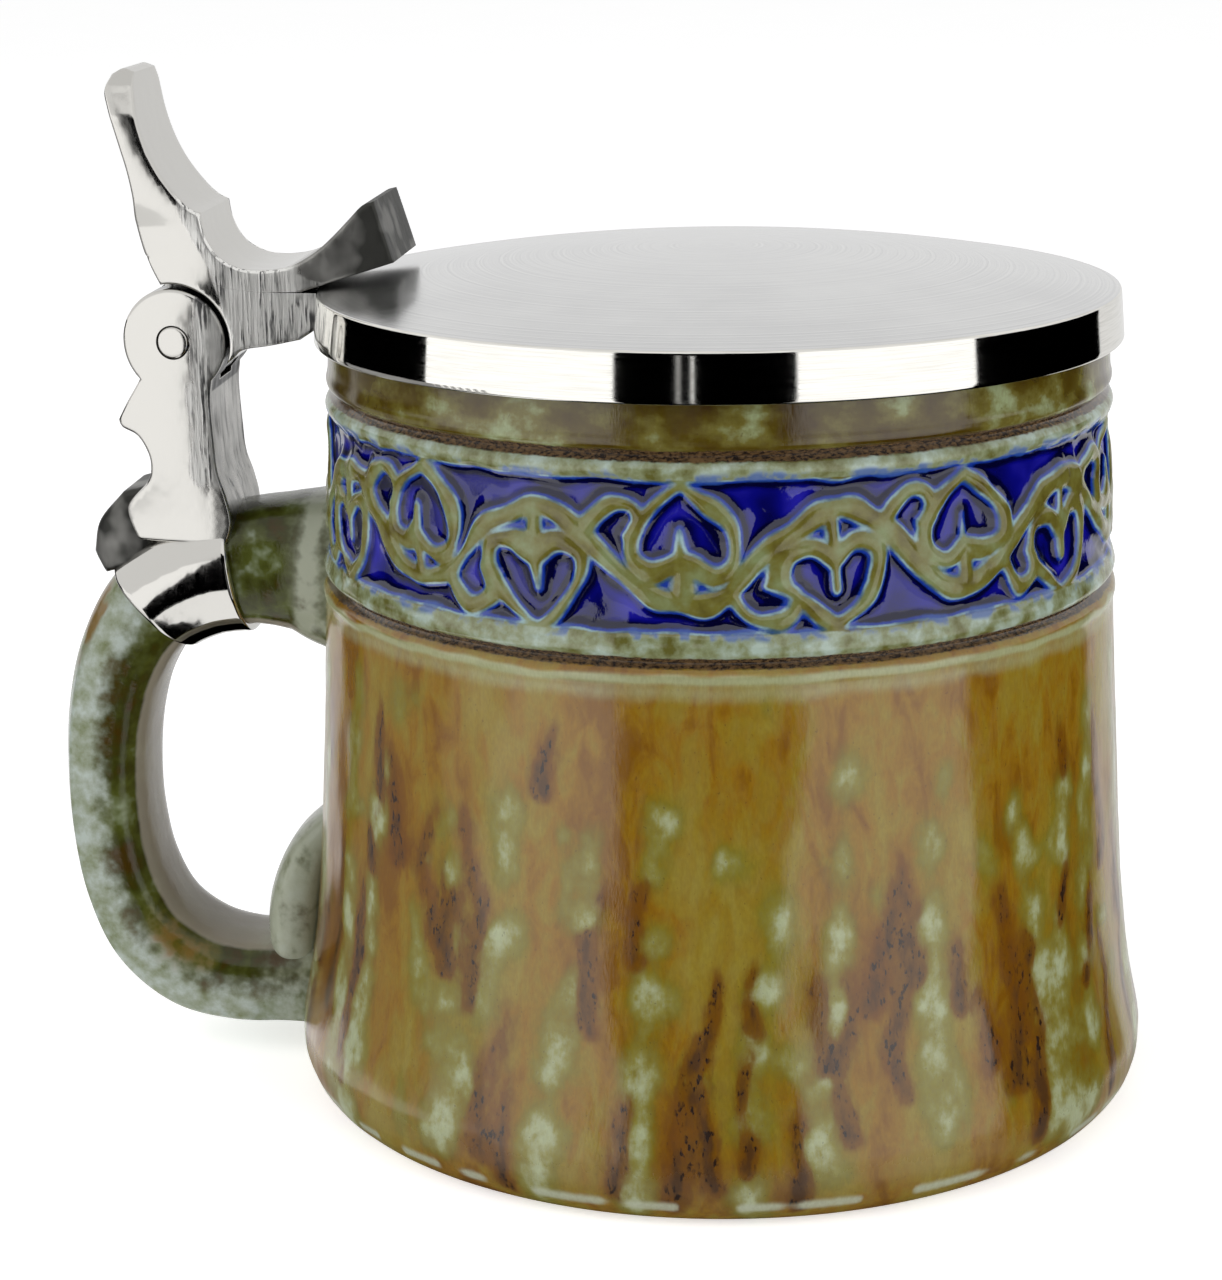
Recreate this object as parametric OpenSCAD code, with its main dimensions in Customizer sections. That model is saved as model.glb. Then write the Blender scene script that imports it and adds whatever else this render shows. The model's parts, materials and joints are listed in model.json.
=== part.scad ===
// Half-litre beer stein: stoneware mug with a pewter hinged lid and thumb lift.
// Frame: origin on the vessel axis at the plane it stands on, +Z up,
// handle towards -X, hinge pin along Y. The lid opens by swinging up towards -X.

/* [Vessel] */
// Height of the stoneware wall, foot to lip
vessel_h = 104; // [100:1:108]
// Outer radius of the wall just under the lip
vessel_r = 50.6; // [49.8:0.1:50.8]
// Wall thickness
vessel_wall = 4.8; // [4:0.1:6]
// How much the wall widens towards the foot, mm of radius per mm of height
vessel_taper = 0.041; // [0.02:0.001:0.05]
// Extra radius of the flared foot
foot_flare = 2.9; // [1:0.1:4]
// Height over which the flare dies away
flare_fade = 12; // [8:1:18]
// Thickness of the cup's floor
floor_t = 8; // [6:0.5:10]
// Depth of the hollow under the foot
foot_recess = 2.5; // [1.5:0.1:4]

/* [Frieze] */
// Lower edge of the decorated band
frieze_low = 73; // [71.8:0.1:76]
// Upper edge of the decorated band
frieze_high = 91.6; // [88:0.1:92.2]
// Depth of the band's sunk ground
frieze_depth = 0.7; // [0.4:0.1:1.2]
// Width of the two turned grooves
groove_w = 1.5; // [1:0.1:2]

/* [Lid] */
// Outer radius at the lid's upper edge
lid_r = 51.9; // [51.8:0.1:53]
// Height of the rim's lower edge above the table
rim_low = 100.8; // [100.4:0.1:101.4]
// Height of the rim's upper edge above the table
rim_high = 107; // [106.6:0.1:107.4]
// Rise of the dome above the rim
dome_rise = 5; // [3:0.5:8]
// Metal thickness of the dome
lid_t = 1.9; // [1.5:0.1:2.2]

/* [Hinge] */
// Distance of the pin from the vessel axis
pin_x = 70.6; // [70.2:0.1:71]
// Height of the pin
pin_z = 100; // [99.5:0.1:100.5]
// Radius of the pin
pin_r = 2.1; // [1.8:0.1:2.4]
// Radial play of the pin in the turning knuckle
pin_play = 0.06; // [0.03:0.01:0.1]
// Radius of the bracket's two round ears
ear_r = 7; // [6.6:0.1:7.2]
// Width of pillar, ears and lever along the pin
hinge_w = 17; // [16:0.5:18]
// Width of the turning middle knuckle
knuckle_w = 5.8; // [5:0.1:7]

/* [Handle] */
// Widest part of the loop along Y
handle_w = 17; // [16:0.5:18]
// Metal thickness of the strap round the handle
strap_t = 1.2; // [0.9:0.1:1.4]

/* [Hidden] */
$fn = 96;
eps = 0.01;
stoneware = [0.60, 0.45, 0.20];
olive = [0.42, 0.45, 0.26];
cobalt = [0.10, 0.08, 0.55];
pewter = [0.78, 0.77, 0.74];
pewter_dark = [0.62, 0.61, 0.59];
hp = hinge_w / 2;
kp = knuckle_w / 2;
side_play = 0.15;           // free play each side of the knuckle
ear_play = 0.6;             // gap between an ear and the lever's hollow
lip_r = 2.1;                // rounding of the drinking edge
lip_gap = 0.3;              // the closed lid stands this far off the lip
rim_gap = 0.45;             // radial play of the rim round the lip
foot_widest = 8;            // height of the widest ring of the foot
foot_ring_r = 51.5;         // outer edge of the standing ring
foot_ring_w = 5;

// ---------- helpers ----------

// Outer radius of the wall at height z, above the widest ring of the foot.
function wall_r(z) = vessel_r + vessel_taper * (vessel_h - 4 - z)
                   + foot_flare * exp(-(z - foot_widest) / flare_fade);
// Inner radius of the cup at height z: it follows the taper but not the flare.
function cup_r(z) = vessel_r - vessel_wall + vessel_taper * (vessel_h - 4 - z) * 0.7;

// Catmull-Rom value between b and c at parameter f.
function cr(a, b, c, d, f) = 0.5 * (2 * b + (c - a) * f + (2 * a - 5 * b + 4 * c - d) * f * f
                             + (3 * b - a - 3 * c + d) * f * f * f);
// A point on the spline through the stations st, u from 0 to len(st) - 1.
function on_path(st, u) =
    let (n = len(st) - 1, i = min(floor(u), n - 1), f = u - i)
    cr(st[max(i - 1, 0)], st[i], st[i + 1], st[min(i + 2, n)], f);
// Unit direction of travel in the XZ plane.
function along(st, u) =
    let (n = len(st) - 1,
         d = on_path(st, min(u + 0.02, n)) - on_path(st, max(u - 0.02, 0)),
         m = norm([d[0], d[1]]))
    [d[0] / m, d[1] / m];
// Power with the sign kept, for squarish ovals.
function spow(v, e) = sign(v) * pow(abs(v), e);
// One ring of a bar: stations hold [x, z, thickness, width], grow thickens it.
function bar_ring(st, u, grow, sides) =
    let (p = on_path(st, u), t = along(st, u))
    [for (k = [0 : sides - 1])
        let (a = 360 * k / sides,
             n = (p[2] / 2 + grow) * spow(sin(a), 0.72),
             y = (p[3] / 2 + grow) * spow(cos(a), 0.72))
        [p[0] - t[1] * n, y, p[1] + t[0] * n]];

// A bar of squarish oval section swept along the stations from u0 to u1.
module bar(st, u0, u1, rings, grow = 0, sides = 24) {
    pts = [for (i = [0 : rings]) each bar_ring(st, u0 + (u1 - u0) * i / rings, grow, sides)];
    walls = [for (i = [0 : rings - 1], k = [0 : sides - 1])
        let (a = i * sides + k, b = i * sides + (k + 1) % sides)
        each [[a, b + sides, b], [a, a + sides, b + sides]]];
    low = [[for (k = [0 : sides - 1]) k]];
    high = [[for (k = [sides - 1 : -1 : 0]) rings * sides + k]];
    polyhedron(points = pts, faces = concat(walls, low, high), convexity = 6);
}

// A plate lying in the XZ plane, y0 to y1, drawn with 2-D coordinates x, z.
module plate(y0, y1) {
    translate([0, y1, 0]) rotate([90, 0, 0]) linear_extrude(y1 - y0) children();
}

// Everything inside the vessel's outer surface, used to seat the handle.
module vessel_envelope() {
    rotate_extrude() polygon(concat(
        [[0, 0], [foot_ring_r, 0], [54.6, 1], [56.5, 3], [57.3, 5.4]],
        [for (z = [foot_widest : 4 : vessel_h]) [wall_r(z), z]],
        [[0, vessel_h]]));
}

// ---------- stoneware vessel ----------

module turned_bead(z, r) {
    rotate_extrude() translate([wall_r(z) - r * 0.45, z]) circle(r, $fn = 24);
}

module turned_groove(z) {
    rotate_extrude() translate([wall_r(z) + groove_w * 0.12, z]) circle(groove_w / 2, $fn = 24);
}

module mug_body() {
    color(stoneware) difference() {
        union() {
            rotate_extrude() polygon(concat(
                [[0, 0], [foot_ring_r, 0], [54.6, 1], [56.5, 3], [57.3, 5.4]],
                [for (z = [foot_widest : 4 : vessel_h - 4]) [wall_r(z), z]],
                [[wall_r(vessel_h - 4), vessel_h - lip_r],
                 [vessel_r - lip_r, vessel_h - lip_r],
                 [0, vessel_h - lip_r]]));
            rotate_extrude() translate([vessel_r - lip_r, vessel_h - lip_r]) circle(lip_r);
            rotate_extrude() translate([vessel_r - vessel_wall + lip_r, vessel_h - lip_r]) circle(lip_r);
            rotate_extrude() translate([0, vessel_h - lip_r - eps])
                square([vessel_r - lip_r, lip_r]);
            for (z = [68.2, 71.8, 92.8, 96.2]) turned_bead(z, 0.6);
        }
        // cup
        rotate_extrude() polygon(concat(
            [[0, floor_t], [40, floor_t], [43.6, floor_t + 0.8], [46, floor_t + 2.8]],
            [for (z = [floor_t + 6 : 6 : vessel_h - lip_r]) [cup_r(z), z]],
            [[cup_r(vessel_h - lip_r), vessel_h + 1], [0, vessel_h + 1]]));
        // hollow under the foot
        translate([0, 0, -1]) cylinder(r = foot_ring_r - foot_ring_w, h = foot_recess + 1);
        turned_groove(70);
        turned_groove(94.5);
        // sunk ground of the frieze
        difference() {
            translate([0, 0, frieze_low])
                cylinder(r = vessel_r + 6, h = frieze_high - frieze_low);
            translate([0, 0, frieze_low - 1])
                cylinder(r1 = wall_r(frieze_low - 1) - frieze_depth,
                         r2 = wall_r(frieze_high + 1) - frieze_depth,
                         h = frieze_high - frieze_low + 2);
        }
    }
}

// ---------- stoneware handle ----------

// Loop stations: [x, z, thickness in the loop's plane, width along Y]
hw = handle_w;
loop = [
    [-46, 69.4, 21.6, hw + 3],
    [-52, 69.3, 20, hw + 1.5],
    [-57, 69.3, 18.2, hw],
    [-63, 69, 16.6, hw],
    [-70, 67.3, 15.2, hw],
    [-76.6, 63, 13.6, hw],
    [-80.8, 56.3, 12.6, hw],
    [-83, 48.5, 12, hw],
    [-83.8, 40, 11.6, hw],
    [-83.6, 32, 11.6, hw],
    [-82.2, 24, 12, hw],
    [-78.9, 16.8, 12.9, hw],
    [-73.2, 12, 13.6, hw],
    [-66.5, 10.2, 13.2, hw],
    [-60, 10.2, 13, hw],
    [-52, 10.2, 13.6, hw]];
// The curl that turns up against the wall at the lower end
curl = [
    [-60, 8, 6, hw],
    [-59, 13, 6.6, hw],
    [-58.2, 18, 6.6, hw - 1],
    [-57.2, 23.5, 6.6, hw - 2],
    [-55.6, 28.5, 6, hw - 4],
    [-53.2, 32.5, 4, hw - 7]];

module loop_bar() { bar(loop, 0, len(loop) - 1, 46); }

module handle() {
    color(olive) difference() {
        union() {
            loop_bar();
            bar(curl, 0, len(curl) - 1, 12);
        }
        vessel_envelope();
    }
}

// ---------- pewter strap round the handle ----------

strap_from = 3.15;
strap_to = 4.95;

module strap_outside() { bar(loop, strap_from, strap_to, 8, strap_t); }

module strap_band() {
    color(pewter) difference() {
        strap_outside();
        loop_bar();
    }
}

// ---------- pewter bracket: pillar, two ears, beak and saddle foot ----------

module at_pin() { translate([-pin_x, pin_z]) children(); }

// Side outline of the pillar below the ears.
module pillar_outline() {
    at_pin() polygon([
        [-4.9, -5], [-5.5, -6], [-6.8, -8], [-8.3, -10.6], [-7.8, -11.6], [-5.7, -12.6],
        [-4.4, -14.6], [-4, -16.6], [-4.6, -18.8], [-7.2, -21.4], [-8, -22.6], [-7.8, -24.4],
        [-6.6, -27], [6, -27], [6.8, -24], [6.2, -20.6], [5.2, -17.4], [4.9, -14], [4.6, -8],
        [4.9, -5]]);
}

module hinge_bracket() {
    color(pewter) difference() {
        union() {
            plate(-hp, hp) difference() {
                union() {
                    pillar_outline();
                    at_pin() circle(ear_r);
                }
            }
            // rear block of the saddle, behind the pillar's foot
            plate(-6, 6) at_pin() polygon([
                [-4.5, -19.5], [-8.5, -20.6], [-12.4, -25], [-13.6, -29.4], [-11.8, -32],
                [-6, -30], [-4, -24]]);
        }
        // slot for the turning knuckle
        plate(-kp - side_play, kp + side_play) at_pin() circle(ear_r + 0.4);
        // pin bore through both ears
        translate([-pin_x, hp + 1, pin_z]) rotate([90, 0, 0]) cylinder(r = pin_r, h = hinge_w + 2);
        strap_outside();
        loop_bar();
    }
}

// ---------- pin ----------

module hinge_pin() {
    color(pewter_dark) translate([-pin_x, hp + 0.5, pin_z]) rotate([90, 0, 0])
        cylinder(r = pin_r, h = hinge_w + 1);
}

// ---------- lever: shank and thumb lift ----------

// Side outline of the shank, from the hinge to the lid's rim.
module shank_outline() {
    at_pin() polygon([
        [-1.4, 7.4], [-2.5, 9.3], [-3.3, 11], [3, 9.4], [7, 7.4], [12, 6.7], [24, 6.6],
        [24, 5], [17, 0.5], [13.1, -0.3], [9.4, -0.9], [8.2, -1.9], [7.4, -3], [0, 0]]);
}

// Side outline of the thumb lift: tall rear horn, saddle, and front horn over the lid.
module thumb_outline() {
    at_pin() polygon([
        [-3.3, 11], [-3.7, 11.9], [-4.5, 15.5], [-4.6, 18.8], [-5.2, 22.4], [-6.2, 26],
        [-7.4, 30.2], [-7.8, 32.4], [-7, 34.4], [-5.6, 35.1], [-4.2, 34.6], [-3.9, 31.8],
        [-3.5, 28.8], [-2.5, 25.4], [-1, 22.3], [1.1, 19.4], [2.9, 17.6], [4.4, 16.8],
        [4.7, 14.8], [5.4, 12.9], [6.8, 11.1], [9, 9.9], [11.4, 9.5], [14.4, 9.7],
        [16.8, 10.4], [19.5, 12], [21.6, 13.8], [23.8, 16], [25.7, 17.9], [27.2, 18.4],
        [29.6, 10.6], [17.6, 6.8], [12, 6.7], [7, 7.4], [3, 9.4]]);
}

// Clearance for the round ears in the lever's hollow, both sides of the knuckle.
module ear_clearance() {
    for (s = [-1, 1]) translate([0, s * (kp + 10), 0])
        plate(-10, 10) at_pin() circle(ear_r + ear_play);
}

module lid_shank() {
    color(pewter) difference() {
        union() {
            plate(-hp, hp) shank_outline();
            plate(-kp, kp) at_pin() circle(ear_r - 0.2);
        }
        ear_clearance();
        translate([-pin_x, hp + 1, pin_z]) rotate([90, 0, 0])
            cylinder(r = pin_r + pin_play, h = hinge_w + 2);
        lid_envelope();
    }
}

module thumb_lift() {
    color(pewter) intersection() {
        plate(-hp, hp) thumb_outline();
        // front view: sides draw in towards the rounded tip
        translate([-pin_x - 20, 0, pin_z]) rotate([90, 0, 90]) linear_extrude(60)
            polygon([[-hp, 0], [hp, 0], [hp, 21], [hp - 1, 29], [hp - 2, 33], [hp - 4, 36],
                     [-hp + 4, 36], [-hp + 2, 33], [-hp + 1, 29], [-hp, 21]]);
    }
}

// ---------- lid ----------

dome_R = (lid_r * lid_r + dome_rise * dome_rise) / (2 * dome_rise);
rim_in = vessel_r + rim_gap + 0.1;

// The lid's solid outer shape: rim and dome.
module lid_envelope() {
    intersection() {
        translate([0, 0, rim_low]) union() {
            cylinder(r1 = lid_r + 0.5, r2 = lid_r, h = rim_high - rim_low);
            translate([0, 0, rim_high - rim_low - eps]) cylinder(r = lid_r, h = dome_rise + 1);
        }
        translate([0, 0, rim_high + dome_rise - dome_R]) sphere(dome_R, $fn = 200);
    }
}

module lid() {
    color(pewter) difference() {
        lid_envelope();
        // rim pocket round the lip
        translate([0, 0, rim_low - 1])
            cylinder(r = rim_in, h = vessel_h + lip_gap - rim_low + 1);
        // hollow under the dome
        intersection() {
            translate([0, 0, rim_low]) cylinder(r = 45.5, h = 20);
            translate([0, 0, rim_high + dome_rise - dome_R]) sphere(dome_R - lid_t, $fn = 200);
        }
    }
}

mug_body();
handle();
strap_band();
hinge_bracket();
hinge_pin();
lid_shank();
thumb_lift();
lid();
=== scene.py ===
"""Beer stein with a hinged pewter lid: the looks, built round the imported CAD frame.

Lengths in this script are millimetres unless a name says otherwise; MM turns them
into the frame's metres when a mesh is made. Outlines of the pewter pieces are (x, z)
points measured from the hinge pin.
"""

import json
import math

import bpy
import numpy as np
from mathutils import Matrix, Vector, geometry


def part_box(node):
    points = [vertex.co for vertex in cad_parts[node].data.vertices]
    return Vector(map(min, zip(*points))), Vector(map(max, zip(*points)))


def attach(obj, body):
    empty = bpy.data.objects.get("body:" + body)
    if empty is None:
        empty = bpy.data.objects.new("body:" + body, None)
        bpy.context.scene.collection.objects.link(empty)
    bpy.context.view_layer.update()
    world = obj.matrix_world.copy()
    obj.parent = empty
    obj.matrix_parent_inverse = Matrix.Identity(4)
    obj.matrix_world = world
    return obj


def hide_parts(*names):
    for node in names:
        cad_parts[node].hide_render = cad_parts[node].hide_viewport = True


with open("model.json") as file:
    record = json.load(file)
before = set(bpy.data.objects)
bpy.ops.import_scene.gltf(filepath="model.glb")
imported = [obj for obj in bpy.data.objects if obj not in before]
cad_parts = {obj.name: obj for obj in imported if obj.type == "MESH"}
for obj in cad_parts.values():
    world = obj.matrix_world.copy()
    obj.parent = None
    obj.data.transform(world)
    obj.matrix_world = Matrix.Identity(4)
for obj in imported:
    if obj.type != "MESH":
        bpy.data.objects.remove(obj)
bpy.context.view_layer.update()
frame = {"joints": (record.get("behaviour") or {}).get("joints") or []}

MM = 0.001
SEED = 20

# ---------- sizes taken from the frame ----------

HINGE = [value / MM for value in frame["joints"][0]["pos_m"]]
PIN_X, PIN_Z = HINGE[0], HINGE[2]
LIP_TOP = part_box("mug_body")[1].z / MM
RIM_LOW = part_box("lid")[0].z / MM
DOME_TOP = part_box("lid")[1].z / MM
RIM_R_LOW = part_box("lid")[1].x / MM

# ---------- vessel ----------
# Heights and radii of the turned outline, measured on the mug's own axis.

WALL_R = 50.6                         # outer radius below the lip
CUP_R = 45.8                          # inner radius there
NECK = LIP_TOP - 4                    # height from which the wall widens downwards
TAPER, CUP_TAPER = 0.041, 0.0287      # widening per millimetre, outside and inside
FOOT_WIDEST = 8.0
FOOT_FLARE, FLARE_FADE = 3.1, 12.0    # extra radius there, and the height over which it fades
FOOT_TUCK, TUCK_FADE = 0.4, 1.33      # the flare's last turn upright, just above the widest point
FOOT_OUTLINE = [(51.5, 0), (54.0, 0.5), (55.5, 1.7), (56.4, 3.2), (56.95, 5.2), (57.07, 8.0)]
LOWER_GROOVE = 70.0
UPPER_GROOVE = 94.5
FRIEZE_LOW = 73.0
FRIEZE_HIGH = 91.6
FRIEZE_DEPTH = 0.75
GROOVE_DEPTH, GROOVE_WIDTH = 0.9, 0.62
LIP_START, LIP_ROUND = 101.9, 2.1
BEADS = [(68.3, 0.9, 0.3), (71.6, 0.8, 0.28), (92.9, 0.8, 0.28), (96.1, 0.8, 0.2)]    # z, width, rise


def wall_r(z):
    """Outer radius of the plain wall at height z."""
    up = z - FOOT_WIDEST
    flare = FOOT_FLARE * np.exp(-up / FLARE_FADE) - FOOT_TUCK * np.exp(-up / TUCK_FADE)
    return WALL_R + TAPER * (NECK - z) + flare


def cup_r(z):
    """Inner radius of the cup at height z."""
    return CUP_R + CUP_TAPER * (NECK - z)


def swell(z, centre, width):
    return np.exp(-(((z - centre) / width) ** 2))


def turned_r(z):
    """Outer radius with the turned beads and the two grooves."""
    r = wall_r(z)
    for centre, width, rise in BEADS:
        r = r + rise * swell(z, centre, width)
    for centre in (LOWER_GROOVE, UPPER_GROOVE):
        r = r - GROOVE_DEPTH * swell(z, centre, GROOVE_WIDTH)
    return r


# ---------- small mesh tools ----------

def catmull(a, b, c, d, f):
    """Point at share f of the way from b to c on the smooth curve through a, b, c and d."""
    return 0.5 * (2 * b + (c - a) * f + (2 * a - 5 * b + 4 * c - d) * f ** 2
                  + (3 * b - a - 3 * c + d) * f ** 3)


def spline(points, step):
    """Catmull-Rom curve through the points, sampled about every step."""
    pts = np.array(points, float)
    ext = np.vstack([2 * pts[0] - pts[1], pts, 2 * pts[-1] - pts[-2]])
    out = []
    for i in range(len(pts) - 1):
        a, b, c, d = ext[i:i + 4]
        count = max(1, int(math.ceil(np.linalg.norm(c[:2] - b[:2]) / step)))
        out.append(catmull(a, b, c, d, (np.arange(count) / count)[:, None]))
    out.append(pts[-1:])
    return np.vstack(out)


def smooth(low, high, value):
    """Smooth step from 0 at low to 1 at high; low may be above high."""
    t = np.clip((value - low) / (high - low), 0, 1)
    return t * t * (3 - 2 * t)


def piece(name, points, faces, layers=None, material=None):
    """A mesh object from points in millimetres, with float layers on its points."""
    mesh = bpy.data.meshes.new(name)
    pts = np.asarray(points, float).reshape(-1, 3) * MM
    mesh.from_pydata(pts.tolist(), [], faces)
    for layer, values in (layers or {}).items():
        attribute = mesh.attributes.new(layer, "FLOAT", "POINT")
        attribute.data.foreach_set("value", np.asarray(values, np.float32).ravel())
    if material:
        mesh.materials.append(material)
    mesh.shade_smooth()
    obj = bpy.data.objects.new(name, mesh)
    bpy.context.scene.collection.objects.link(obj)
    return obj


def grid_faces(rows, cols, wrap_rows=False, start=0):
    """Quads of a grid whose columns close on themselves, from point number start."""
    i, j = np.meshgrid(np.arange(rows if wrap_rows else rows - 1), np.arange(cols), indexing="ij")
    a = i * cols + j
    b = i * cols + (j + 1) % cols
    up = ((i + 1) % rows) * cols
    quads = np.stack([a, b, up + (j + 1) % cols, up + j], -1).reshape(-1, 4)
    return (quads + start).tolist()


def end_faces(rows, cols):
    """The two faces that close the ends of a grid."""
    return [list(range(cols))[::-1], [(rows - 1) * cols + k for k in range(cols)]]


def around(count):
    """Angles of count equal steps once round."""
    return np.arange(count) * 2 * math.pi / count


def turned(radius, z):
    """Points of a turned surface from radius (rows, cols) and z (rows,)."""
    theta = around(radius.shape[1])
    height = np.broadcast_to(z[:, None], radius.shape)
    return np.stack([radius * np.cos(theta), radius * np.sin(theta), height], -1)


def lathe(outline, cols):
    """Points of an outline of (radius, z) turned about the mug's axis."""
    return turned(np.repeat(outline[:, :1], cols, 1), outline[:, 1])


def wave_field(theta, z, seed, count, turns, per_mm):
    """Smooth random field about -1 to 1 that closes on itself round the vessel."""
    rng = np.random.default_rng(seed)
    out = np.zeros((len(z), len(theta)))
    for _ in range(count):
        k = int(rng.integers(turns[0], turns[1] + 1))
        m = rng.uniform(-1, 1) * per_mm
        phase = rng.uniform(0, 2 * math.pi)
        out += np.cos(k * theta[None, :] + m * z[:, None] + phase)
    return out / math.sqrt(count / 2) / 2


def combine(target, tool, operation):
    """Boolean of target with tool, which is then removed."""
    modifier = target.modifiers.new("combine", "BOOLEAN")
    modifier.operation = operation
    modifier.solver = "EXACT"
    modifier.object = tool
    bpy.context.view_layer.update()
    evaluated = target.evaluated_get(bpy.context.evaluated_depsgraph_get())
    mesh = bpy.data.meshes.new_from_object(evaluated)
    target.modifiers.clear()
    target.data = mesh
    bpy.data.objects.remove(tool)


def sharpen(obj, degrees=38):
    obj.data.shade_smooth()
    obj.data.set_sharp_from_angle(angle=math.radians(degrees))
    return obj


# ---------- material tools ----------

def linear(*rgb):
    """A display colour, 0 to 255, as the linear colour that nodes use."""
    v = np.array(rgb, float) / 255
    return tuple(np.where(v <= 0.04045, v / 12.92, ((v + 0.055) / 1.055) ** 2.4)) + (1.0,)


class Shader:
    """A node material under construction. Values may be numbers, sockets or display colours.

    colour is what has been painted so far.
    """

    def __init__(self, name, **constants):
        self.material = bpy.data.materials.new(name)
        self.material.use_nodes = True
        self.tree = self.material.node_tree
        self.tree.nodes.clear()
        self.surface = self.node("BsdfPrincipled", **constants)
        self.node("OutputMaterial", Surface=self.surface.outputs[0])
        place = self.node("TexCoord").outputs["Object"]
        self.place = self.scaled(place, 1 / MM, 1 / MM, 1 / MM)

    def set(self, node, name, value):
        socket = node.inputs[name]
        if isinstance(value, bpy.types.NodeSocket):
            self.tree.links.new(value, socket)
        else:
            socket.default_value = linear(*value) if isinstance(value, tuple) else value

    def node(self, kind, **inputs):
        """A new node with its inputs set; _ stands for the space in their names."""
        node = self.tree.nodes.new("ShaderNode" + kind)
        for name, value in inputs.items():
            self.set(node, name.replace("_", " "), value)
        return node

    def scaled(self, vector, *factors):
        node = self.node("Mapping", Vector=vector)
        node.inputs["Scale"].default_value = factors
        return node.outputs[0]

    def noise(self, per_mm, detail=3.0, stretch=(1, 1, 1), distortion=0.0):
        node = self.node("TexNoise", Vector=self.scaled(self.place, *stretch), Scale=per_mm,
                         Detail=detail, Roughness=0.55, Distortion=distortion)
        return node.outputs["Fac"]

    def layer(self, name):
        node = self.node("Attribute")
        node.attribute_name = name
        return node.outputs["Fac"]

    def math(self, operation, a, b=0.0):
        node = self.node("Math")
        node.operation = operation
        self.set(node, 0, a)
        self.set(node, 1, b)
        return node.outputs[0]

    def add(self, a, b):
        return self.math("ADD", a, b)

    def times(self, a, b):
        return self.math("MULTIPLY", a, b)

    def step(self, value, low, high, out_low=0.0, out_high=1.0):
        """Smooth step of value between low and high."""
        node = self.node("MapRange", Value=value, From_Min=low, From_Max=high,
                         To_Min=out_low, To_Max=out_high)
        node.interpolation_type = "SMOOTHSTEP"
        return node.outputs[0]

    def jitter(self, value, noise, amount):
        """value moved up and down by a noise that is 0.5 on average."""
        return self.add(value, self.times(self.add(noise, -0.5), amount))

    def uneven(self, value, noise, amount):
        """value scaled up and down by a noise that is 0.5 on average."""
        return self.times(value, self.add(1.0, self.times(self.add(noise, -0.5), 2 * amount)))

    def mix(self, factor, a, b):
        node = self.node("Mix")
        node.data_type = "RGBA"
        self.set(node, 0, factor)
        self.set(node, 6, a)
        self.set(node, 7, b)
        return node.outputs[2]

    def ramp(self, value, stops):
        node = self.node("ValToRGB", Fac=value)
        marks = node.color_ramp.elements
        while len(marks) < len(stops):
            marks.new(0.5)
        for mark, (place, colour) in zip(marks, stops):
            mark.position = place
            mark.color = linear(*colour)
        return node.outputs[0]

    def cover(self, colour, factor):
        """Lays a colour over what has been painted so far."""
        self.colour = self.mix(factor, self.colour, colour)

    def paint(self, colour, value, low, high, amount=1.0):
        """Lays a colour where value steps up from low to high."""
        self.cover(colour, self.step(value, low, high, 0, amount))

    def bump(self, height, depth_mm, strength=1.0):
        node = self.node("Bump", Strength=strength, Distance=depth_mm * MM, Height=height)
        self.set(self.surface, "Normal", node.outputs[0])

    def finish(self, roughness):
        self.set(self.surface, "Base Color", self.colour)
        self.set(self.surface, "Roughness", roughness)
        return self.material


# ---------- stoneware glazes ----------

GLAZE_IOR = 1.62
AMBER = (128, 94, 12)
RUST = (112, 74, 4)
HONEY = (128, 106, 26)
TAN = (132, 116, 40)
OLIVE = (106, 102, 26)
UMBER = (66, 42, 20)
IRON = (26, 18, 18)


def paint_grooves(s):
    """Unglazed brown clay, worn lighter in patches, in the two turned grooves."""
    dark = s.mix(s.step(s.noise(1.6, 4, (1, 1, 2)), 0.35, 0.65), (30, 24, 22), (98, 76, 50))
    s.paint(dark, s.jitter(s.layer("groove"), s.noise(1.2, 4, (1, 1, 2)), 0.5), 0.35, 0.6)


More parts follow.
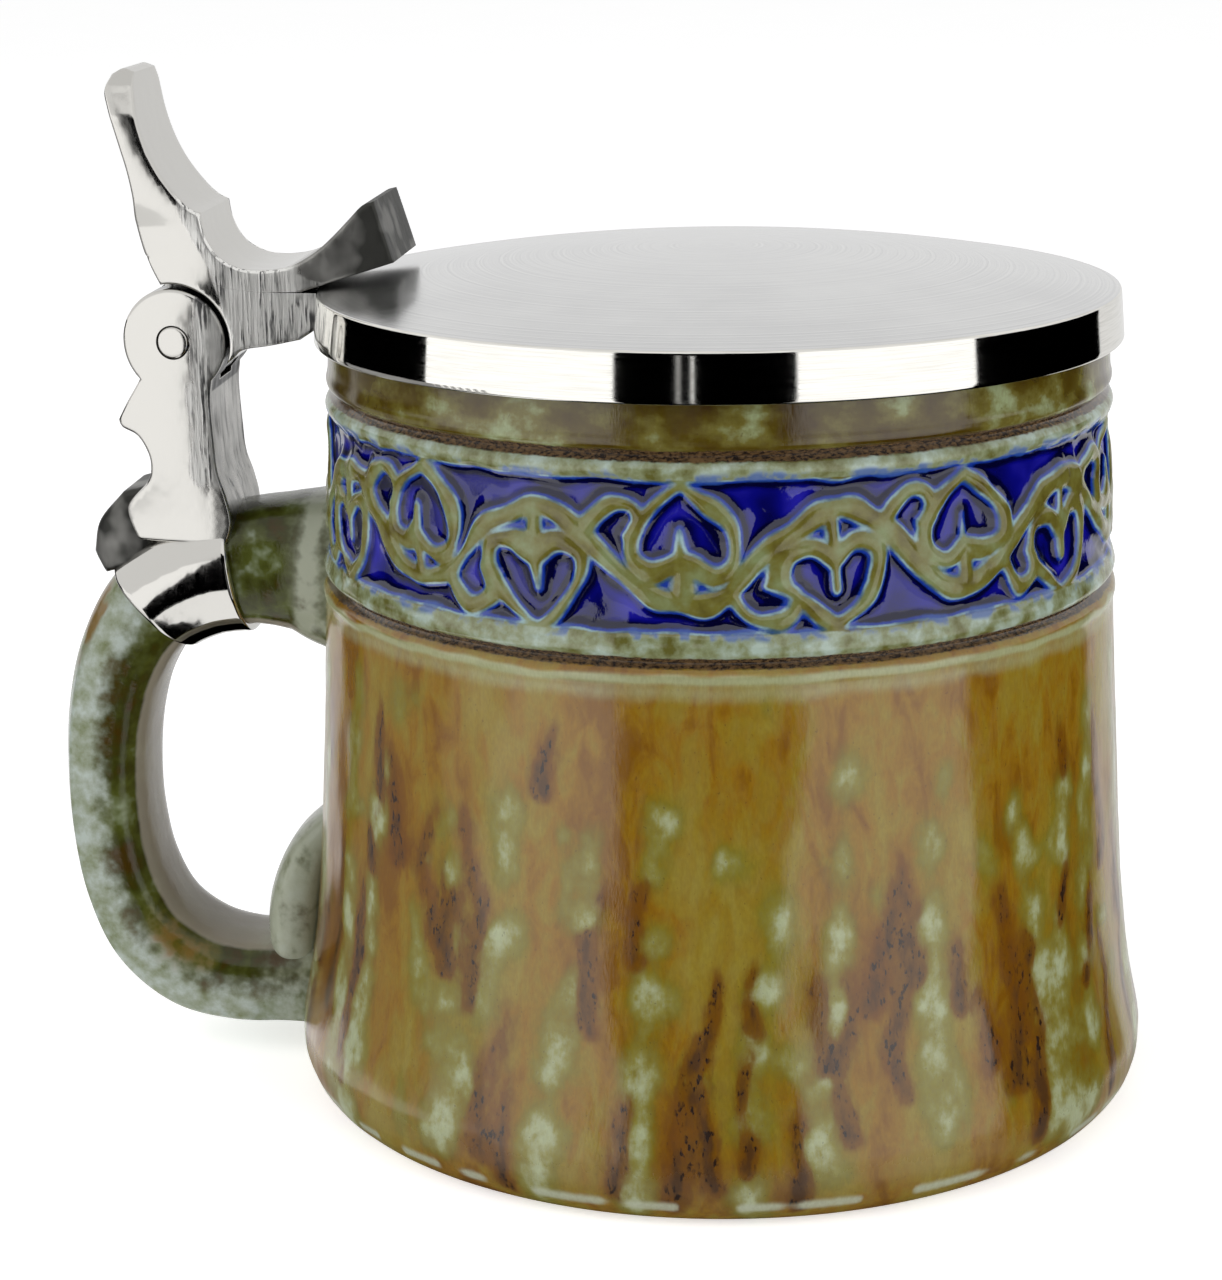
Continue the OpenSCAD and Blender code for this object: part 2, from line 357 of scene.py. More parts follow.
def wall_glaze():
    """Runny salt glaze: amber, with celadon drops, brown runs and iron specks, plus painted reflection
    bands, painted shade on the collar and a painted glint along the foot.
    """
    s = Shader("wall_glaze", IOR=GLAZE_IOR)
    grain = s.noise(0.9, 6, (1, 1, 0.4))
    fine = s.noise(3.2, 4, (1, 1, 0.35))
    slow = s.noise(0.07, 3, (1, 1, 0.4), 0.6)
    veins = s.noise(0.34, 4, (1, 1, 0.42), 0.8)
    # The tone layer carries random glaze tone and painted reflection bands.
    tone_and_reflection = s.jitter(s.jitter(s.layer("tone_and_reflection"), slow, 1.0), veins, 1.2)
    s.colour = s.ramp(tone_and_reflection, [(0.22, RUST), (0.42, AMBER), (0.62, HONEY), (0.85, TAN)])
    # Olive-green glaze of the collar, its palette darkened as painted shade under the lid's rim.
    shaded_moss = s.ramp(s.jitter(0.5, s.noise(0.13, 5, (1, 1, 1.4)), 2.0),
                   [(0.2, (58, 42, 2)), (0.46, (74, 62, 10)), (0.66, (98, 92, 40)),
                    (0.86, (132, 142, 104))])
    s.cover(shaded_moss, s.layer("collar"))
    mottle = s.noise(0.6, 4, (1, 1, 0.8))
    pale = s.uneven(s.uneven(s.layer("pale"), mottle, 0.8), fine, 0.3)
    s.paint(OLIVE, pale, 0.04, 0.4, 0.7)
    s.paint((128, 126, 66), pale, 0.24, 0.7, 0.8)
    s.paint((158, 166, 132), pale, 0.5, 1.0, 0.9)
    run = s.uneven(s.uneven(s.layer("run"), veins, 0.8), grain, 1.0)
    s.paint((98, 58, 4), run, 0.04, 0.34, 0.85)
    s.paint(UMBER, run, 0.3, 0.8, 0.85)
    specks = s.step(s.noise(1.5, 2, (1, 1, 0.45)), 0.56, 0.66)
    s.cover(IRON, s.times(s.times(specks, s.step(run, 0.2, 0.45)), 0.9))
    pits = s.noise(2.4, 1, (1, 1, 0.8))
    s.paint(UMBER, pits, 0.7, 0.78, 0.4)
    band = s.jitter(s.layer("band"), s.noise(0.35, 4, (1, 1, 0.6)), 0.4)
    s.paint((150, 158, 122), band, 0.2, 1.0, 0.8)
    # Pale dashes near the foot: partly a pale glaze line, partly a painted glint on the foot's rounding.
    s.paint((162, 168, 146), s.jitter(s.layer("dash_and_glint"), grain, 0.3), 0.25, 0.95, 0.85)
    paint_grooves(s)
    s.paint(UMBER, fine, 0.3, 0.7, 0.16)
    s.bump(s.add(s.times(grain, 0.6), s.times(fine, 0.3)), 0.05, 0.6)
    return s.finish(s.add(s.step(grain, 0.3, 0.7, 0.1, 0.2), s.times(s.layer("foot"), 0.25)))


def frieze_glaze():
    """Cobalt pools between olive strokes, painted darker at the strokes' feet as shade, with pale edges
    that are partly milky glaze where it breaks and partly painted highlight.
    """
    s = Shader("frieze_glaze", IOR=GLAZE_IOR)
    grain = s.noise(0.8, 4)
    slow = s.noise(0.16, 2)
    relief = s.jitter(s.jitter(s.layer("relief"), grain, 0.16), s.noise(2.6, 4), 0.1)
    s.colour = s.ramp(s.jitter(s.layer("pool_and_shade"), slow, 0.8),
                      [(0.15, (3, 3, 38)), (0.5, (8, 8, 108)), (0.85, (32, 28, 146))])
    olive = s.ramp(s.jitter(0.5, s.noise(0.25, 4), 1.4),
                   [(0.2, (74, 64, 14)), (0.45, (98, 94, 38)), (0.75, (112, 122, 82))])
    s.paint((18, 48, 138), relief, 0.2, 0.42)
    # Pale edges of the strokes: partly milky glaze where it breaks, partly a painted highlight.
    rim = s.mix(s.step(s.noise(0.22, 4), 0.35, 0.62), (52, 78, 96), (132, 160, 164))
    s.paint(rim, relief, 0.44, 0.66)
    s.paint(olive, relief, 0.64, 0.84)
    chalk = s.ramp(s.jitter(0.5, s.noise(0.3, 5), 1.8),
                   [(0.2, (84, 82, 34)), (0.45, (120, 128, 96)), (0.75, (154, 170, 160))])
    s.paint(chalk, s.jitter(s.layer("band"), grain, 0.9), 0.3, 0.8, 0.92)
    wash = s.times(s.layer("wash"), s.step(s.noise(0.3, 4), 0.4, 0.65))
    s.paint((40, 72, 142), wash, 0.1, 0.8, 0.75)
    paint_grooves(s)
    s.bump(s.add(s.times(grain, 0.5), s.times(slow, 2.0)), 0.12, 0.5)
    return s.finish(s.step(relief, 0.1, 0.6, 0.03, 0.14))


def handle_glaze():
    """Milky blue-green back, olive sides and a greyer inner face."""
    s = Shader("handle_glaze", IOR=1.42)
    grain = s.noise(0.4, 4)
    patch = s.noise(0.2, 3)
    s.colour = s.ramp(s.jitter(0.5, patch, 1.9), [(0.15, (60, 44, 6)), (0.38, (52, 54, 12)),
                                                  (0.64, (72, 78, 28)), (0.9, (118, 128, 96))])
    milky = s.ramp(s.jitter(0.5, grain, 1.6),
                   [(0.1, (96, 104, 64)), (0.4, (128, 136, 116)), (0.75, (158, 167, 160))])
    s.paint(milky, s.jitter(s.jitter(s.layer("back"), patch, 0.8), grain, 0.5), 0.12, 0.75)
    s.paint((158, 151, 138), s.jitter(s.layer("inner"), grain, 0.3), 0.4, 0.8, 0.8)
    root = s.uneven(s.uneven(s.layer("root"), grain, 0.8), patch, 0.6)
    s.paint((152, 156, 138), root, 0.2, 0.8, 0.85)
    amber = s.uneven(s.uneven(s.layer("amber"), patch, 1.6), grain, 1.2)
    s.paint((108, 78, 12), amber, 0.15, 0.9, 0.85)
    s.bump(s.add(s.times(grain, 0.9), s.times(s.noise(2.4, 4), 0.2)), 0.2, 0.6)
    return s.finish(s.step(grain, 0.3, 0.7, 0.1, 0.2))


def cup_glaze():
    """Plain beige-green glaze inside the cup and bare fired clay under the foot."""
    s = Shader("cup_glaze", IOR=GLAZE_IOR)
    grain = s.noise(0.5, 5)
    s.colour = s.mix(s.step(grain, 0.3, 0.7), (150, 146, 112), (168, 166, 134))
    bare = s.step(s.jitter(s.layer("bare"), grain, 0.2), 0.4, 0.6)
    s.cover(s.mix(s.noise(1.4, 6), (150, 128, 98), (176, 156, 124)), bare)
    s.bump(s.noise(1.8, 5), 0.08, 0.5)
    return s.finish(s.add(s.times(bare, 0.55), 0.2))


# ---------- pewter ----------

PEWTER = (208, 206, 201)
BRIGHT = (250, 249, 245)
TARNISH = (46, 46, 50)
# Dark grey painted on some faces as the reflection of the dark room around them.
DARK_REFLECTION = (70, 70, 67)
# Near black painted shade for the faces inside the hinge's gaps.
GAP_SHADE = (16, 16, 17)


def polished_pewter(name, rough):
    """Hand-finished pewter: brush marks, painted shade in the hinge's gaps, and rougher faces with a
    painted dark reflection, where the layers ask.
    """
    s = Shader(name, Metallic=1.0)
    marks = s.noise(1.1, 4, (1.9, 1.9, 0.14), 0.3)
    clusters = s.step(s.noise(0.5, 3, (1.0, 1.0, 0.35)), 0.38, 0.6, 0.15, 1.0)
    hair = s.noise(6.0, 3, (2.0, 2.0, 0.12))
    mask = s.step(s.jitter(s.layer("brush"), s.noise(0.4, 4, (1.4, 1.4, 0.35)), 1.1), 0.3, 0.8)
    streak = s.times(s.times(s.step(marks, 0.49, 0.57), clusters), mask)
    s.colour = s.mix(s.times(mask, 0.9), PEWTER, BRIGHT)
    s.cover(TARNISH, s.times(streak, 0.9))
    # Painted dark reflection: where this layer asks, the colour darkens in patches towards dark grey; the
    # same layer also makes those faces rougher.
    dull_dark_reflection = s.layer("dull_dark_reflection")
    s.cover(DARK_REFLECTION, s.times(dull_dark_reflection, s.step(s.noise(0.16, 2), 0.3, 0.7, 0.45, 0.9)))
    # Painted shade: the faces inside the hinge's gaps, slot and pin hole go near black.
    s.paint(GAP_SHADE, s.layer("gap_shade"), 0.3, 0.9, 0.95)
    waves = s.times(s.noise(0.22, 2), s.add(1.2, s.times(dull_dark_reflection, 2.0)))
    s.bump(s.add(waves, s.times(mask, s.add(marks, -0.5))), 0.1, 0.5)
    worn = s.add(s.times(mask, 0.26), s.times(dull_dark_reflection, 0.22))
    return s.finish(s.add(s.step(hair, 0.3, 0.7, rough, rough + 0.06), worn))


def satin_lid():
    """Lid top: fine circular turning marks in a satin finish."""
    s = Shader("satin_lid", Metallic=1.0)
    x, y, _ = s.node("SeparateXYZ", Vector=s.place).outputs
    radius = s.math("SQRT", s.add(s.times(x, x), s.times(y, y)))
    node = s.node("TexNoise", Scale=2.6, Detail=5.0)
    node.noise_dimensions = "1D"
    s.set(node, "W", radius)
    rings = node.outputs["Fac"]
    cloud = s.noise(0.05, 4)
    mark = s.noise(0.6, 5)
    tint = s.add(s.times(rings, 0.5), s.times(cloud, 0.5))
    s.colour = s.mix(s.step(tint, 0.35, 0.65), (214, 214, 214), (230, 230, 229))
    s.bump(s.add(rings, s.times(mark, 0.4)), 0.006, 0.4)
    return s.finish(s.step(s.jitter(cloud, mark, 0.3), 0.3, 0.7, 0.13, 0.21))


def mirror_rim():
    """Rim and inside of the lid: turned bright."""
    s = Shader("mirror_rim", Metallic=1.0)
    lines = s.noise(1.0, 4, (0.15, 0.15, 6.0))
    s.colour = s.mix(s.step(lines, 0.4, 0.7), (236, 234, 228), (222, 220, 213))
    s.bump(s.add(lines, s.times(s.noise(0.08, 2), 2.0)), 0.01, 0.25)
    return s.finish(s.step(lines, 0.3, 0.7, 0.03, 0.07))


# ---------- glaze pattern on the wall ----------

ARC = 54.0          # mean radius used to turn angles into millimetres along the wall
CHAINS = 32         # upright chains of celadon drops round the vessel
RUNS = 84           # brown runs of glaze between them


def drops():
    """Centres and sizes of the celadon drops, as (arc, z, half width, half height, strength)."""
    rng = np.random.default_rng(SEED)
    turn = 2 * math.pi * ARC
    out = []
    for chain in range(CHAINS):
        arc = (chain + rng.uniform(-0.3, 0.3)) * turn / CHAINS
        z = rng.uniform(36, 64)
        lean = rng.uniform(-0.15, 0.15)
        while z > 4:
            low = 1 - z / 66
            width = rng.uniform(1.3, 2.0) + 0.6 * low
            height = rng.uniform(1.8, 3.2) + 0.8 * low
            out.append((arc, z, width, height, rng.uniform(0.45, 0.95)))
            step = height + rng.uniform(3.0, 7.5)
            z -= step
            arc += lean * step + rng.uniform(-1.3, 1.3)
    for _ in range(150):
        out.append((rng.uniform(0, turn), rng.uniform(6, 66), rng.uniform(0.8, 2.0),
                    rng.uniform(1.2, 3.2), rng.uniform(0.25, 0.6)))
    return out


def runs():
    """Brown runs of glaze, as (arc, top, bottom, half width, strength, wobble, phase)."""
    rng = np.random.default_rng(SEED + 1)
    turn = 2 * math.pi * ARC
    out = []
    for i in range(RUNS):
        top = rng.uniform(16, 64)
        out.append((i * turn / RUNS + rng.uniform(-2.5, 2.5), top, max(3.0, top - rng.uniform(7, 28)),
                    rng.uniform(0.8, 1.8), rng.uniform(0.5, 1.0), rng.uniform(0.5, 1.8),
                    rng.uniform(0, 6.28)))
    return out


def wall_layers(theta, z):
    """Glaze layers on a grid of angles and heights; some of them also carry painted light."""
    arc = (theta * ARC)[None, :]
    turn = 2 * math.pi * ARC
    warp_u = 0.6 * wave_field(theta, z, SEED + 2, 30, (4, 60), 0.9)
    warp_z = 1.2 * wave_field(theta, z, SEED + 3, 30, (4, 50), 0.7)
    pale = np.zeros((len(z), len(theta)))
    for a, zc, w, h, strength in drops():
        rows = np.nonzero(np.abs(z - zc) < 3 * h + 2)[0]
        gap = (arc[0] - a + turn / 2) % turn - turn / 2
        cols = np.nonzero(np.abs(gap) < 3 * w + 2)[0]
        cell = np.ix_(rows, cols)
        du = (gap[cols][None, :] + warp_u[cell]) / w
        dz = (z[rows][:, None] - zc + warp_z[cell]) / h
        d = np.sqrt(du ** 2 + dz ** 2)
        pale[cell] = 1 - (1 - pale[cell]) * (1 - strength * np.exp(-(d ** 2) * 0.7))
    run = np.zeros_like(pale)
    for a, top, bottom, w, strength, wobble, phase in runs():
        rows = np.nonzero((z < top + 3) & (z > bottom - 3))[0]
        path = a + wobble * np.sin(z[rows] * 0.2 + phase) + 0.3 * np.sin(z[rows] * 0.5 + phase)
        gap = (arc - path[:, None] + turn / 2) % turn - turn / 2
        along = smooth(top + 3, top - 4, z[rows]) * smooth(bottom - 2, bottom + 1, z[rows])
        weight = along * (0.55 + 0.45 * smooth(top, bottom, z[rows]))
        value = strength * weight[:, None] / (1 + ((gap + 0.5 * warp_u[rows]) / w) ** 2) ** 1.3
        run[rows] = 1 - (1 - run[rows]) * (1 - value)
    run *= 1 - 0.8 * smooth(0.25, 0.7, pale)
    tone_and_reflection = 0.5 + 0.24 * wave_field(theta, z, SEED + 4, 24, (4, 30), 0.1)
    # Seven bands round the wall, darkest where it faces the camera and lightest either side: a painted
    # reflection of the studio, laid over the random tone.
    tone_and_reflection += 0.08 * np.cos(7 * (theta + math.radians(64.3)))[None, :]
    rows = z[:, None] + 0.25 * warp_z
    band = 0.9 * swell(rows, 68.2, 0.55) + 0.6 * swell(rows, 66.6, 1.6)
    groove = sum(swell(z[:, None] + 0.05 * warp_z, g, 0.75) for g in (LOWER_GROOVE, UPPER_GROOVE))
    # Pale dashes near the foot: partly a pale glaze line, partly a painted glint on the foot's rounding.
    dash_gate = smooth(-0.35, 0.1, wave_field(theta, np.zeros(1), SEED + 5, 20, (8, 46), 0.1))
    dash_and_glint = swell(z[:, None], 3.1, 0.85) * dash_gate
    collar = smooth(93, 95, z)[:, None] + 0 * pale
    return {"pale": pale * (1 - collar), "run": run, "tone_and_reflection": tone_and_reflection, "band": np.clip(band, 0, 1),
            "groove": groove, "dash_and_glint": dash_and_glint, "collar": collar,
            "foot": smooth(10, 5, z)[:, None] + 0 * pale}


def vessel_wall(material):
    """Outer wall from the standing ring up to the bottom of the lower groove."""
    cols = 690
    theta = around(cols)
    foot = spline(FOOT_OUTLINE, 0.7)
    z = np.concatenate([np.arange(8.6, 66.4, 0.62), np.arange(66.4, LOWER_GROOVE - 0.05, 0.24),
                        [LOWER_GROOVE]])
    r = np.concatenate([foot[:, 0], turned_r(z)])
    z = np.concatenate([foot[:, 1], z])
    layers = wall_layers(theta, z)
    lift = 0.10 * layers["pale"] + 0.05 * layers["run"]
    ripple = 0.07 * wave_field(theta, z, SEED + 6, 40, (6, 40), 0.35)
    fade = (smooth(0.2, 3, z) * smooth(LOWER_GROOVE, LOWER_GROOVE - 3, z))[:, None]
    radius = r[:, None] + (lift + ripple) * fade
    return piece("mug_wall", turned(radius, z), grid_faces(len(z), cols), layers, material)


# ---------- frieze ----------

BAYS = 18                                   # half waves of the vine round the vessel
BAY = 2 * math.pi * 51.8 / BAYS             # arc length of one bay
BAND_H = FRIEZE_HIGH - FRIEZE_LOW


def brush_distance(p, v, path, widths):
    """Distance from the points (p, v) to a stroke with the given half widths."""
    best = np.full(p.shape, 9.0)
    path = np.asarray(path, float)
    widths = np.broadcast_to(widths, len(path)) if np.isscalar(widths) else np.asarray(widths)
    for (a, b), (wa, wb) in zip(zip(path[:-1], path[1:]), zip(widths[:-1], widths[1:])):
        d = b - a
        t = np.clip(((p - a[0]) * d[0] + (v - a[1]) * d[1]) / max(d @ d, 1e-9), 0, 1)
        gap = np.hypot(p - a[0] - t * d[0], v - a[1] - t * d[1]) - (wa + (wb - wa) * t)
        best = np.minimum(best, gap)
    return best


def vine_strokes():
    """Strokes of one bay of the vine: (points, half width at start, at end)."""
    middle, rise = BAND_H / 2, 5.3
    x = np.linspace(-0.5, BAY + 0.5, 26)
    stem = np.c_[x, middle + rise * np.sin(math.pi * x / BAY)]
    c = BAY / 2
    leaf = spline([(c, 9.2), (c - 2.6, 10.8), (c - 5.6, 9.4), (c - 5.7, 6.0), (c - 3.4, 3.0),
                   (c + 0.5, 0.6)], 0.9)
    other = spline([(c, 9.2), (c + 2.8, 10.8), (c + 5.8, 9.4), (c + 5.9, 6.0), (c + 3.9, 3.0),
                    (c + 0.5, 0.6)], 0.9)
    rib = spline([(c, 13.8), (c + 0.1, 9.6), (c + 0.2, 7.4), (c + 0.4, 5.4)], 0.9)
    curl = spline([(c + 6.0, 12.6), (c + 7.6, 14.6), (c + 9.8, 16.2), (c + 12.3, 15.6),
                   (c + 13.0, 13.2), (c + 11.6, 12.0)], 0.9)
    return [(stem, 1.2, 1.2), (leaf, 1.1, 0.6), (other, 1.1, 0.6), (rib, 0.8, 0.35),
            (curl, 0.95, 0.6)]


def vine_distance(arc, v):
    """Distance to the nearest stroke of the whole vine: odd bays are turned upside down."""
    bay = np.floor(arc / BAY)
    best = np.full(arc.shape, 9.0)
    strokes = vine_strokes()
    for shift in (-1, 0, 1):
        p = arc - (bay + shift) * BAY
        near = (p > -3.5) & (p < BAY + 7.5)
        flip = ((bay + shift) % 2).astype(bool)
        height = np.where(flip, BAND_H - v, v)
        for path, w0, w1 in strokes:
            widths = np.linspace(w0, w1, len(path))
            best[near] = np.minimum(best[near], brush_distance(p[near], height[near], path, widths))
    return best


def frieze(material):
    """Band from groove to groove, with the vine standing in its sunk ground."""
    rows, cols = 93, 1056
    z = np.linspace(LOWER_GROOVE, UPPER_GROOVE, rows)
    theta = around(cols)
    grid_z = np.broadcast_to(z[:, None], (rows, cols))
    arc = np.broadcast_to((theta * BAY * BAYS / (2 * math.pi))[None, :], (rows, cols))
    wobble_u = 0.8 * wave_field(theta, z, SEED + 7, 24, (5, 34), 0.35)
    wobble_v = 0.6 * wave_field(theta, z, SEED + 8, 24, (5, 34), 0.35)
    press = 0.34 * wave_field(theta, z, SEED + 9, 30, (12, 60), 0.6)
    v = grid_z - FRIEZE_LOW
    stroke = vine_distance((arc + wobble_u) % (BAY * BAYS), v + wobble_v) - press
    low_edge = v - 0.55 + 0.5 * press + 0.25 * wobble_v
    high_edge = BAND_H + 0.2 - v + 0.5 * press + 0.25 * wobble_v
    distance = np.minimum(stroke, np.minimum(low_edge, high_edge))
    relief = smooth(0.95, -0.5, distance)
    for _ in range(2):
        relief = (relief * 2 + np.roll(relief, 1, 1) + np.roll(relief, -1, 1)) / 4
        relief[1:-1] = (relief[1:-1] * 2 + relief[:-2] + relief[2:]) / 4
    inside = smooth(-0.9, -0.3, v) * smooth(BAND_H + 0.9, BAND_H + 0.4, v)
    crown = 0.12 * smooth(0.0, -1.2, stroke) * inside
    hollow = 0.24 * smooth(0.6, 2.4, distance) * inside
    ripple = 0.06 * wave_field(theta, z, SEED + 10, 60, (20, 90), 1.1) * inside
    sunk = FRIEZE_DEPTH * (1 - relief) * inside
    radius = turned_r(z)[:, None] - sunk + crown - hollow + ripple
    pool_and_shade = 0.5 + 0.25 * wave_field(theta, z, SEED + 11, 30, (8, 50), 0.5)
    # Painted shade: the pools darken towards the feet of the strokes.
    pool_and_shade -= 0.5 * smooth(1.7, 0.7, distance)
    band = np.maximum(smooth(0.9, 0.1, v), smooth(BAND_H - 0.2, BAND_H + 0.5, v))
    warp = 0.3 * wave_field(theta, z, SEED + 12, 24, (6, 60), 0.6)
    groove = sum(swell(grid_z + 0.2 * warp, g, 0.75) for g in (LOWER_GROOVE, UPPER_GROOVE))
    border = np.minimum(low_edge, high_edge)
    wash = smooth(-1.5, -0.1, border) * smooth(0.9, 0.2, border) * smooth(0.1, 1.2, stroke)
    layers = {"relief": relief * inside + (1 - inside), "pool_and_shade": pool_and_shade, "band": band, "groove": groove,
              "wash": wash}
    return piece("mug_frieze", turned(radius, z), grid_faces(rows, cols), layers, material)


# ---------- collar, lip, cup and underside ----------

def vessel_collar(material):
    """Collar above the upper groove, up to the top of the lip."""
    cols = 512
    z = np.linspace(UPPER_GROOVE, LIP_START, 36)
    r = turned_r(z)
    ang = np.linspace(0, math.pi / 2, 8)[1:]
    r = np.concatenate([r, r[-1] - LIP_ROUND + LIP_ROUND * np.cos(ang)])
    z = np.concatenate([z, LIP_START + LIP_ROUND * np.sin(ang)])
    return piece("mug_collar", lathe(np.c_[r, z], cols), grid_faces(len(z), cols),
                 wall_layers(around(cols), z), material)


def vessel_inside(material):
    """Inside of the lip and cup, and the underside with its standing ring."""
    cols = 256
    lip = turned_r(np.array([LIP_START]))[0] - LIP_ROUND
    ang = np.linspace(math.pi / 2, math.pi, 8)
    rim_in = np.stack([lip - 0.3 + LIP_ROUND * np.cos(ang), LIP_START + LIP_ROUND * np.sin(ang)], -1)
    rim_in[0] = (lip, LIP_TOP)
    z = np.linspace(101, 12, 40)
    cup = np.c_[cup_r(z), z]
    floor = spline([(47.3, 10.8), (46.0, 9.2), (43.0, 8.15), (38, 8.0)], 0.6)
    flat = np.array([(30, 8.0), (20, 8.0), (10, 8.0), (0.4, 8.0)])
    inner = np.vstack([rim_in, cup, floor, flat])
    under = spline([(51.5, 0.0), (50.6, -0.0), (47.4, 0.0), (46.6, 0.5), (46.3, 2.0), (45.2, 2.5)], 0.5)
    under = np.vstack([under, [(30, 2.5), (15, 2.5), (0.4, 2.5)]])[::-1]
    points, faces, bare = [], [], []
    for outline, flag in ((inner, 0.0), (under, 1.0)):
        start = sum(len(p) for p in points)
        points.append(lathe(outline, cols).reshape(-1, 3))
        faces += grid_faces(len(outline), cols, False, start)
        tip = start + (len(outline) - 1) * cols if flag == 0 else start
        loop = [tip + k for k in range(cols)]
        faces.append(loop if flag == 0 else loop[::-1])
        bare.append(np.full(len(outline) * cols, flag))
    return piece("mug_inside", np.vstack(points), faces, {"bare": np.concatenate(bare)}, material)


# ---------- handle and strap ----------

# Stations of the loop: x, z, thickness in the loop's plane, width along Y.
LOOP = [(-46, 68.2, 26, 20.5), (-52, 68.7, 21.8, 18.8), (-57, 69.2, 18.4, 17), (-63, 69, 16.6, 17),
        (-70, 67.3, 15.2, 17), (-76.6, 63, 13.6, 17), (-80.8, 56.3, 12.6, 17),
        (-83, 48.5, 12, 17), (-83.8, 40, 11.6, 17), (-83.6, 32, 11.6, 17),
        (-82.2, 24, 12, 17), (-78.9, 16.8, 12.9, 17), (-73.2, 12, 13.6, 17),
        (-66.5, 10.2, 13.2, 17), (-60, 10.2, 13, 17), (-52, 10.2, 13.6, 17)]
CURL = [(-56.5, 8, 5, 12), (-58, 13, 7, 14.5), (-58.3, 18, 8, 16), (-57.6, 23.5, 7.8, 16),
        (-55.8, 28.8, 6.4, 14.5), (-52.8, 32.8, 4.6, 12), (-49.4, 35.8, 4, 10)]
STRAP_FROM, STRAP_TO = 3.15, 4.95     # where the strap starts and stops, in stations of the loop
STRAP_T, STRAP_LIP = 1.2, 0.5         # thickness of the strap, and where its rounded edge begins


def on_path(stations, u):
    """Catmull-Rom value at parameter u, which counts stations."""
    pts = np.array(stations, float)
    ext = np.vstack([pts[0], pts, pts[-1]])
    i = min(int(u), len(pts) - 2)
    return catmull(*ext[i:i + 4], u - i)


def heading(stations, u):
    last = len(stations) - 1
    d = on_path(stations, min(u + 0.02, last)) - on_path(stations, max(u - 0.02, 0))
    return d[:2] / np.linalg.norm(d[:2])


def bar_ring(stations, u, angles, grow=0.0, ridge=0.0, square=0.72):
    """One ring of the squarish oval section; angle 90 degrees is the outside of the loop."""
    x, z, thick, wide = on_path(stations, u)
    t = heading(stations, u)
    side, out = np.cos(angles), np.sin(angles)
    bulge = ridge * sum(swell(angles, centre, 0.14) for centre in (math.radians(38), math.radians(142)))
    n = (thick / 2 + grow + bulge) * np.sign(out) * np.abs(out) ** square
    y = (wide / 2 + grow + bulge) * np.sign(side) * np.abs(side) ** square
    return np.stack([x + t[1] * n, y, z - t[0] * n], -1)


def swept(stations, u, sides, ridge):
    """A bar swept along the stations: its rings, faces, and layers for back and inner face."""
    angles = around(sides) + 0.001
    rings = np.array([bar_ring(stations, value, angles, 0, ridge(value)) for value in u])
    back = np.broadcast_to(smooth(-0.35, 0.35, np.sin(angles)), (len(u), sides))
    inner = np.broadcast_to(smooth(-0.55, -0.85, np.sin(angles)), (len(u), sides))
    faces = grid_faces(len(u), sides) + end_faces(len(u), sides)
    return rings, faces, back, inner


def check_outward(obj):
    """Turns the faces outward, whichever way the grid was wound."""
    import bmesh
    bm = bmesh.new()
    bm.from_mesh(obj.data)
    bmesh.ops.recalc_face_normals(bm, faces=bm.faces)
    bm.to_mesh(obj.data)
    bm.free()
    return obj


def handle(material):
    """Loop luted on to the wall, with a ridge along both edges of its back and a curl."""
    u = np.linspace(0, len(LOOP) - 1, 300)
    sides = 96
    rings, faces, back, inner = swept(LOOP, u, sides, lambda v: 0.32 * smooth(5.5, 7.5, v))
    root = 0.6 * swell(u, 1.35, 0.3) + 0.35 * smooth(3.2, 1.0, u) + 0.4 * smooth(12.6, 14.2, u)
    outer_edge = smooth(0.45, 0.7, np.sin(around(sides)))
    amber = 0.9 * swell(u, 5.5, 0.8)[:, None] * outer_edge
    amber = amber + 0.45 * swell(u, 11.6, 1.3)[:, None] * (1 - back)
    layers = {"back": back * smooth(2, 5.5, u)[:, None], "inner": inner,
              "root": root[:, None] + 0 * back, "amber": amber * (1 - inner)}
    loop = piece("handle_loop", rings, faces, layers, material)
    v = np.linspace(0, len(CURL) - 1, 90)
    rings, faces, back, inner = swept(CURL, v, 64, lambda w: 0.0)
    layers = {"back": 0 * back + 0.5, "inner": 0 * inner, "root": 0 * back + 0.8, "amber": 0 * back}
    curl = piece("handle_curl", rings, faces, layers, material)
    return check_outward(loop), check_outward(curl)


def strap(material):
    """Pewter band wrapped round the handle, its edges rolled."""
    angles = around(160) + 0.001
    edge = 0.07
    lip = [(edge * (1 - math.cos(a)), STRAP_LIP + (STRAP_T - STRAP_LIP) * math.sin(a))
           for a in np.linspace(0, math.pi / 2, 5)]
    first = [(STRAP_FROM + along, grow) for along, grow in lip]
    outer = [(value, STRAP_T) for value in np.linspace(STRAP_FROM + edge, STRAP_TO - edge, 46)]
    last = [(STRAP_TO - along, grow) for along, grow in lip[::-1]]
    inner = [(value, 0.03) for value in np.linspace(STRAP_TO, STRAP_FROM, 24)]
    stations = first + outer[1:-1] + last + inner
    rings = np.array([bar_ring(LOOP, value, angles, grow, 0, np.interp(grow, [0.4, STRAP_T], [0.72, 0.9]))
                      for value, grow in stations])
    faces = grid_faces(len(stations), len(angles), True)
    return sharpen(check_outward(piece("strap", rings, faces, None, material)), 50)


# ---------- flat pewter pieces ----------

HALF_W = 8.5                 # half the width of pillar, ears and lever
EAR_R, EAR_CLEAR = 7.0, 7.6
KNUCKLE_R, KNUCKLE_HALF = 6.8, 2.9
SLOT_R, SLOT_HALF, HOLE_R = 7.4, 3.05, 2.25


